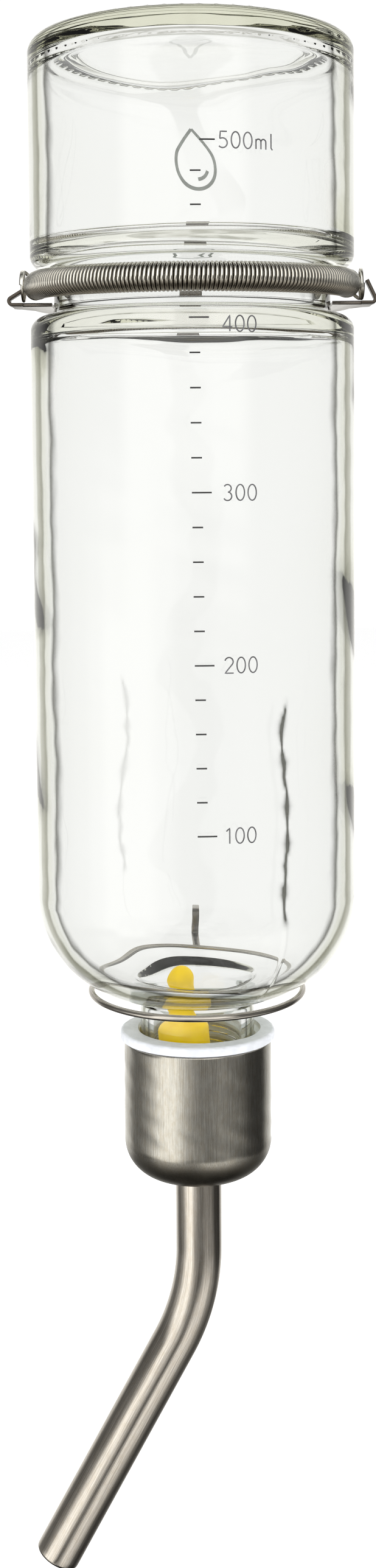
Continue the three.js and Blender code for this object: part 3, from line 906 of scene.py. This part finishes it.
def build_tube():
    collar = TUBE_TOP_Z - washer_low[2] + CLEARANCE
    collar_outline = [(TUBE_R, 0), (COLLAR_R - 0.2, 0), (COLLAR_R, 0.2)]
    roll = 0.85  # round of the rolled end
    tip = TUBE_LENGTH - 0.2
    end = tip - roll
    lip_r = TUBE_R - roll - 0.6
    profile = [
        [TUBE_R - 0.3, 0],
        [TUBE_R, 0.3],
        *[[r, collar + s] for r, s in collar_outline],
        *[[r, collar + COLLAR_THICK - s] for r, s in collar_outline[::-1]],
        *line((TUBE_R, collar + COLLAR_THICK + 0.2), (TUBE_R, end), 1),
        *arc(TUBE_R - roll, end, roll, 0, 80, 8),
        [TUBE_R - roll, tip],
        [lip_r + 0.1, tip],
        [lip_r, tip - 0.1],
        [lip_r, tip - 0.4],
        [TUBE_BORE_R, tip - 1.4],
        *line((TUBE_BORE_R, TUBE_LENGTH - 2), (TUBE_BORE_R, 0.3), 2),
        [TUBE_BORE_R, 0.3],
        [TUBE_BORE_R + 0.2, 0],
    ]
    sides = even_angles(64)
    rings, flow = [], []
    for radius, length in profile:
        centre, side = tube_station(length)
        across = [[radius * math.cos(a), radius * math.sin(a)] for a in sides]
        rings.append([centre + x * side + y * np.array([0, 1, 0]) for x, y in across])
        flow.append([[x, y, length] for x, y in across])
    make_piece(
        "tube_bent", rings, grid_faces(len(profile), len(sides), looped=True), flow, tube_metal,
        "tube", "drinking_tube", "tube_steel", sharp=50,
    )


def build_ball():
    sides = 72
    profile = arc(0, 0, BALL_R, -90, 90, 40)
    rings = lathe(profile, even_angles(sides))
    make_piece(
        "ball_polished", rings + BALL_CENTRE, grid_faces(len(profile), sides), rings, ball_metal,
        "ball", "spout_ball", "ball_steel",
    )


def build_float():
    sides = 72
    head_z = FLOAT_HEIGHT - FLOAT_HEAD_R
    body_z = FLOAT_BODY_HEIGHT
    edge, shoulder = 0.7, 1.6
    profile = [
        [0, 0.4],
        [2.2, 0.4],
        *arc(2.8, 0.6, 0.6, 200, 270, 4),
        *arc(FLOAT_R - edge, edge, edge, -90, 0, 6),
        *line((FLOAT_R, edge + 1), (FLOAT_R, body_z), 1),
        *arc(FLOAT_R - shoulder, body_z, shoulder, 0, 80, 8),
        *arc(FLOAT_HEAD_R + 1.4, body_z + 2.9, 1.2, 250, 180, 6),
        *line((FLOAT_HEAD_R, body_z + 4), (FLOAT_HEAD_R, head_z), 1),
        *arc(0, head_z, FLOAT_HEAD_R, 0, 90, 12),
    ]
    bulge = waves(SEED + 7, 6, 9, 3)

    def swell(r, z, angle):
        return -0.07 * np.abs(bulge(z, angle)) * (r > 1)

    flow = lathe(profile, even_angles(sides), swell)
    c, s = math.cos(FLOAT_LEAN), math.sin(FLOAT_LEAN)
    foot = np.array([FLOAT_X, 0, NECK_END_Z + 0.5])
    rings = flow @ np.array([[c, 0, s], [0, 1, 0], [-s, 0, c]]) + foot
    make_piece(
        "float_moulding", rings, grid_faces(len(profile), sides), flow, float_plastic, "float",
        "float", "yellow_plastic",
    )


# ---- holder ----


def build_strap():
    """The flat strap round the back of the groove, with an ear and a folded tongue at each side."""
    inner_start = math.degrees(math.asin(EAR_Y / STRAP_R))
    outer_start = math.degrees(math.asin(EAR_BACK_Y / STRAP_OUTER_R))
    ear_tip, corner = EAR_X - 1.0, EAR_CORNER_R
    ear = [
        [ear_tip, EAR_Y],
        *arc(ear_tip - corner, EAR_BACK_Y - 3 - corner, corner, 0, 90, 5),
        [STRAP_OUTER_R - 0.4, EAR_BACK_Y - 0.4],
    ]
    flat = np.array([
        *arc(0, 0, STRAP_R, 180 - inner_start, inner_start, 72),
        *ear,
        *arc(0, 0, STRAP_OUTER_R, outer_start, 180 - outer_start, 72),
        *[[-x, y] for x, y in ear[::-1]],
    ])
    count = len(flat)
    edge, half = 0.16, STRAP_THICK / 2
    tangent = unit(np.roll(flat, -1, axis=0) - np.roll(flat, 1, axis=0))
    inward = np.stack([-tangent[:, 1], tangent[:, 0]], axis=1)
    rings = np.array([
        np.column_stack([flat + inward * shrink, np.full(count, STRAP_Z + rise)])
        for shrink, rise in ((edge, -half), (0, -half + edge), (0, half - edge), (edge, half))
    ])
    x, y, z = np.moveaxis(rings, 2, 0)
    flow = np.stack([np.hypot(x, y), z, np.arctan2(y, x) * 12], axis=2)
    # the strap is drawn darker towards the ends of its ears
    make_piece(
        "strap_plate", rings, grid_faces(4, count) + ring_caps(4, count), flow, strap_metal,
        "holder", "clamp_strap", "strap_steel", sharp=25,
        fields={"painted_shade_and_darkening": EAR_DARKENING * smooth_step(STRAP_OUTER_R - 3, STRAP_OUTER_R, np.abs(x))},
    )
    fold = 0.78
    fold_x, fold_z = EAR_X - fold - half, STRAP_Z + fold
    section = strip_section(2 * TONGUE_HALF, STRAP_THICK - 0.1, 0.15)
    for side, name in ((-1, "strap_tongue_left"), (1, "strap_tongue_right")):
        tip = TONGUE_TIPS[side]
        heading = math.degrees(math.atan2(tip[1] - fold_z, tip[0] - fold_x)) + 8
        bend = arc(fold_x, fold_z, fold, -90, heading - 90, 14)
        middle = [[fold_x - 2.2, STRAP_Z], *bend, *line(bend[-1], tip, 0.7)[1:], tip]
        path = [[side * x, LOOP_Y, z] for x, z in middle]
        swept_piece(
            name, path, (0, 1, 0), section, strap_metal, "holder", slot="strap_steel",
            sharp=40, fields={"painted_shade_and_darkening": np.full((len(path), len(section)), EAR_DARKENING)},
        )


def spring_path():
    """The wire's centre line: end loop, close turns round the bottle's front, end loop."""
    turns = round(SPRING_R * SPRING_SPAN / SPRING_PITCH)
    per_turn = 26
    path, outs = [], []
    lead = 2.0  # turns from the coil into each end loop
    steps = round((turns + 2 * lead) * per_turn)
    for i in range(steps + 1):
        turn = i / per_turn - lead
        inside = min(max(turn, 0), turns)
        angle = SPRING_SPAN * (inside / turns - 0.5)
        out = np.array([math.sin(angle), -math.cos(angle), 0.0])
        centre = out * SPRING_R
        centre[2] = SPRING_END_Z - SPRING_DROOP * math.cos(angle)
        radius = COIL_R
        past = max(-turn, turn - turns, 0)
        if past > 0:
            side = math.copysign(1, turn - turns / 2)
            share = smooth_step(0.0, 0.9, past)
            loop = np.array([side * LOOP_X, LOOP_Y, SPRING_END_Z])
            centre = centre + (loop - centre) * share
            centre[0] += side * 0.35 * max(0.0, past - 1.2)
            out = out * (1 - share) + np.array([0.0, -1.0, 0.0]) * share
            out /= np.linalg.norm(out)
            radius = COIL_R + 0.4 * share
        phase = TAU * turn
        direction = out * math.cos(phase) + np.array([0, 0, 1.0]) * math.sin(phase)
        path.append(centre + direction * radius)
        outs.append(direction)
    return path, outs


def build_spring():
    path, outs = spring_path()
    around = even_angles(10)
    # painted shade on the coil's underside and where one turn lies against the next
    under = 0.95 * (1 - smooth_step(-0.6, 0.1, np.array(outs)[:, 2:]))
    between = 0.9 * smooth_step(0.45, 1.0, np.abs(np.cos(around)))
    section = [[SPRING_WIRE_R * math.cos(a), SPRING_WIRE_R * math.sin(a)] for a in around]
    swept_piece(
        "spring_wire", path, outs, section, spring_metal, "spring", "clamp_spring", "spring_steel",
        sharp=70, fields={"painted_shade_and_darkening": np.maximum(under, between)},
    )


def build_ring():
    """The wire ring round the neck, with the butt weld of its ends at the back."""
    count, sides = 240, 20
    back, bead = math.pi / 2, 0.05
    angle = even_angles(count)[:, None] + back
    around = even_angles(sides)[None, :]
    off = np.minimum(angle - back, back + TAU - angle) * RING_R
    thick = RING_WIRE_R - bead + bead * np.exp(-(off / 0.5) ** 2)
    radius = RING_R + thick * np.cos(around)
    x, y = radius * np.cos(angle), radius * np.sin(angle)
    z = RING_Z + thick * np.sin(around) + y * math.tan(RING_TILT)
    flow = np.broadcast_arrays(np.cos(around), np.sin(around), angle * RING_R)
    make_piece(
        "ring_wire", np.stack([x, y, z], axis=2), grid_faces(count, sides, looped=True),
        np.stack(flow, axis=2), ring_metal, "holder", "neck_ring", "ring_steel",
    )


def build_hook(name, cad_node):
    """A bent strip: a foot, a plate that rests on the cage, and a hook over its wire."""
    low, high = box_mm(cad_node)
    half, bend = HOOK_THICK / 2, 1.0
    plate_y, tip_y = -AXIS_Y - half, high[1] - half
    foot_z, top_z = low[2] + half, high[2] - half
    outline = [
        [low[1], foot_z],
        *arc(plate_y - bend, foot_z + bend, bend, -90, 0, 6),
        *arc(plate_y + bend, top_z - bend, bend, 180, 90, 6),
        *arc(tip_y - bend, top_z - bend, bend, 90, 0, 6),
        [tip_y, high[2] - HOOK_TIP],
    ]
    path = [[0, y, z] for y, z in dense(outline, 0.8)]
    section = strip_section(high[0] - low[0], HOOK_THICK, 0.2)
    swept_piece(
        name, path, (1, 0, 0), section, strap_metal, "holder", cad_node, "strap_steel",
        sharp=40,
    )


def build_weld(name, centre, size):
    """A small flattened weld bead."""
    lumps = waves(SEED + 8, 6, 1.2, 4)
    sides = 28
    profile = arc(0, 0, 1, -90, 90, 14)
    rings = lathe(profile, even_angles(sides), lambda r, z, a: 0.12 * lumps(z, a) * r)
    rings = rings * np.array(size) + np.array(centre)
    faces = grid_faces(len(profile), sides)
    make_piece(name, rings, faces, rings, weld_metal, "holder", slot="strap_steel")


def build_hooks():
    build_hook("cage_hook_strip", "cage_hook")
    build_hook("ring_hook_strip", "ring_hook")
    strap_z = STRAP_Z - STRAP_THICK / 2 - 0.15
    ring_back = RING_R + RING_WIRE_R
    ring_z = RING_Z + ring_back * math.tan(RING_TILT)
    for name, x, y, z, size in (
        ("strap_weld", 2.0, STRAP_OUTER_R + 0.1, strap_z, (1.0, 0.7, 0.45)),
        ("ring_weld", 0.7, ring_back + 0.15, ring_z, (0.5, 0.45, 0.5)),
    ):
        build_weld(name + "_left", (-x, y, z), size)
        build_weld(name + "_right", (x, y, z), size)


# ---- stage, light and camera ----


def build_stage():
    size, drop = 4.0, 0.06
    z = cad_low[2] - drop
    mesh = bpy.data.meshes.new("floor")
    corners = [(-size, -size, z), (size, -size, z), (size, size, z), (-size, size, z)]
    mesh.from_pydata(corners, [], [(0, 1, 2, 3)])
    material, tree, shader = new_material("floor_paper")
    speckle = place_noise(tree, (40, 40, 40), 2, 0.6)
    plug(tree, shader, {
        "Base Color": mix(tree, speckle, (0.93, 0.93, 0.93), (0.95, 0.95, 0.95)),
        "Roughness": 0.9,
        "Specular IOR Level": 0.1,
    })
    mesh.materials.append(material)
    floor = bpy.data.objects.new("floor", mesh)
    link(floor)
    floor.visible_glossy = False
    floor.visible_transmission = False


def degrees_ramp(tree, value, stops):
    """A ramp over an angle in degrees from -180 to 180."""
    fac = maths(tree, "MULTIPLY_ADD", value, 1 / 360, 0.5)
    return ramp(tree, fac, [((angle + 180) / 360, grey) for angle, grey in stops])


def build_world():
    """A white room for sight and soft light, with softboxes and dark flags for gloss and glass."""
    world = bpy.data.worlds.new("studio")
    bpy.context.scene.world = world
    world.use_nodes = True
    world.cycles.sampling_method = "NONE"
    tree = world.node_tree
    direction = node(tree, "TexCoord").outputs["Generated"]
    x, y, z = node(tree, "SeparateXYZ", {0: direction}).outputs
    round_angle = maths(tree, "ARCTAN2", x, maths(tree, "MULTIPLY", y, -1))
    azimuth = maths(tree, "MULTIPLY", round_angle, 180 / math.pi)
    elevation = maths(tree, "MULTIPLY", maths(tree, "ARCSINE", z), 180 / math.pi)

    # what polished metal and the glass surface mirror: rows of softboxes and flags, by elevation
    level = degrees_ramp(tree, azimuth, [
        (-180, 0.7), (-140, 0.5), (-122, 0.16), (-106, 0.13), (-87, 0.28), (-74, 0.62), (-62, 1.05),
        (-36, 1.05), (-22, 0.60), (-7, 0.30), (8, 0.17), (22, 0.15), (38, 0.20), (56, 0.14),
        (72, 0.10), (88, 0.04), (122, 0.03), (142, 0.4), (160, 0.6), (180, 0.7),
    ])
    lower = degrees_ramp(tree, azimuth, [
        (-180, 0.7), (-140, 0.5), (-122, 0.10), (-97, 0.04), (-80, 0.06), (-66, 0.25), (-54, 1.2),
        (-42, 1.2), (-31, 0.55), (-20, 0.06), (13, 0.05), (23, 0.18), (40, 0.32), (72, 0.30),
        (90, 0.05), (122, 0.04), (142, 0.4), (160, 0.6), (180, 0.7),
    ])
    under = degrees_ramp(tree, azimuth, [
        (-180, 0.4), (-140, 0.1), (-90, 0.1), (-70, 0.45), (-30, 0.45), (-12, 0.26), (0, 0.36),
        (6, 0.6), (14, 0.8), (54, 0.74), (74, 0.30), (110, 0.08), (140, 0.1), (180, 0.4),
    ])
    above = degrees_ramp(tree, azimuth, [
        (-180, 0.6), (-140, 0.4), (-116, 0.08), (-84, 0.12), (-56, 0.15), (-42, 0.9), (30, 0.9),
        (46, 0.12), (84, 0.1), (116, 0.08), (140, 0.4), (180, 0.6),
    ])
    boxes = level
    for ends, other in (
        ([(-25, 1.0), (-19, 0.0)], lower),
        ([(-31, 1.0), (-24, 0.0)], under),
        ([(-6, 0.0), (4, 1.0)], above),
    ):
        boxes = mix(tree, degrees_ramp(tree, elevation, ends), boxes, other)
    reach = degrees_ramp(tree, elevation, [
        (-90, 0.05), (-62, 0.06), (-45, 0.75), (-36, 1.0), (40, 1.0), (66, 0.4), (90, 0.15),
    ])
    mirrored = mix(tree, 1.0, boxes, reach, "MULTIPLY")
    mirrored = mix(tree, 1.0, mirrored, (1.9, 1.88, 1.80), "MULTIPLY")

    # what shows through the glass: white straight through, with pale grey strips behind and in
    # front, and olive where the glass bends light far up or down
    steep = degrees_ramp(tree, elevation, [
        (-90, 0.1), (-64, 0.6), (-46, 0.6), (-36, 0.0), (40, 0.0), (50, 0.6), (66, 0.6), (90, 0.1),
    ])
    patches = noise(tree, direction, (3.2, 3.2, 5.5), 2.0, 0.5)
    patch = ramp(tree, patches, [(0.42, 0.25), (0.58, 1.0)])
    dark_share = maths(tree, "MULTIPLY", steep, patch)
    # the strip behind is too narrow for a ramp
    from_front = maths(tree, "ABSOLUTE", azimuth)
    slope, strip_edge = 5.0, 178.9
    behind = maths(tree, "MULTIPLY_ADD", from_front, slope, -slope * strip_edge, clamp=True)
    behind_depth = degrees_ramp(tree, elevation, [
        (-70, 0.0), (-30, 0.05), (8, 0.03), (11, 0.14), (60, 0.12), (75, 0.0),
    ])
    before = degrees_ramp(tree, azimuth, [(-17, 0.0), (-14, 1.0), (14, 1.0), (17, 0.0)])
    before_depth = degrees_ramp(tree, elevation, [(-20, 0.0), (-8, 0.15), (12, 0.15), (40, 0.15)])
    through = (1.0, 1.0, 1.005)
    for share, depth, color in (
        (behind, behind_depth, (0.2, 0.2, 0.18)),
        (before, before_depth, (0.2, 0.2, 0.17)),
    ):
        through = mix(tree, maths(tree, "MULTIPLY", share, depth), through, color)
    through = mix(tree, dark_share, through, (0.17, 0.165, 0.11))

    rays = node(tree, "LightPath").outputs
    color = mix(tree, rays["Is Glossy Ray"], (1.06, 1.06, 1.06), mirrored)
    color = mix(tree, rays["Is Transmission Ray"], color, through)
    plug(tree, tree.nodes["Background"], {"Color": color})


def build_lights():
    middle = (0, AXIS_Y * MM, (cad_low[2] + cad_high[2]) / 2)
    for name, place, size, power in (
        ("key_light", (-0.9, -1.1, 0.9), 0.9, 9),
        ("fill_light", (1.1, -0.7, 0.4), 0.9, 4),
        ("top_light", (0.0, 0.4, 1.2), 1.2, 7),
    ):
        light = bpy.data.lights.new(name, "AREA")
        light.shape = "RECTANGLE"
        light.size = light.size_y = size
        light.energy = power
        lamp = bpy.data.objects.new(name, light)
        lamp.location = place
        way = Vector([a - b for a, b in zip(middle, place)])
        lamp.rotation_euler = way.to_track_quat("-Z", "Y").to_euler()
        lamp.visible_glossy = False
        lamp.visible_transmission = False
        link(lamp)


def build_camera():
    """The camera looks slightly down at the bottle, from level with its lower half."""
    distance = 414.07
    height = -44.03
    pitch = 4.34
    roll = -0.0073
    data = bpy.data.cameras.new("camera")
    data.sensor_width = 36
    data.lens = 44.45
    data.shift_x = -0.0043
    data.shift_y = -0.0874
    data.clip_start = 0.01
    camera = bpy.data.objects.new("camera", data)
    camera.location = (AXIS_X * MM, (AXIS_Y - distance) * MM, height * MM)
    camera.rotation_mode = "QUATERNION"
    # turned up from straight down, then rolled about its own line of sight
    up = Quaternion((1, 0, 0), math.radians(90 - pitch))
    camera.rotation_quaternion = up @ Quaternion((0, 0, 1), roll)
    link(camera)
    bpy.context.scene.camera = camera


def set_look():
    scene = bpy.context.scene
    scene.view_settings.view_transform = "Standard"
    scene.view_settings.look = "None"
    cycles = scene.cycles
    cycles.max_bounces = cycles.transmission_bounces = 24
    cycles.glossy_bounces = 8
    cycles.transparent_max_bounces = 16
    cycles.sample_clamp_indirect = 6
    cycles.use_denoising = True


build_camera()
build_bottle()
build_scale()
build_drop_mark()
build_cap()
build_liner()
build_seals()
build_tube()
build_ball()
build_float()
build_strap()
build_spring()
build_ring()
build_hooks()
build_stage()
build_world()
build_lights()
set_look()
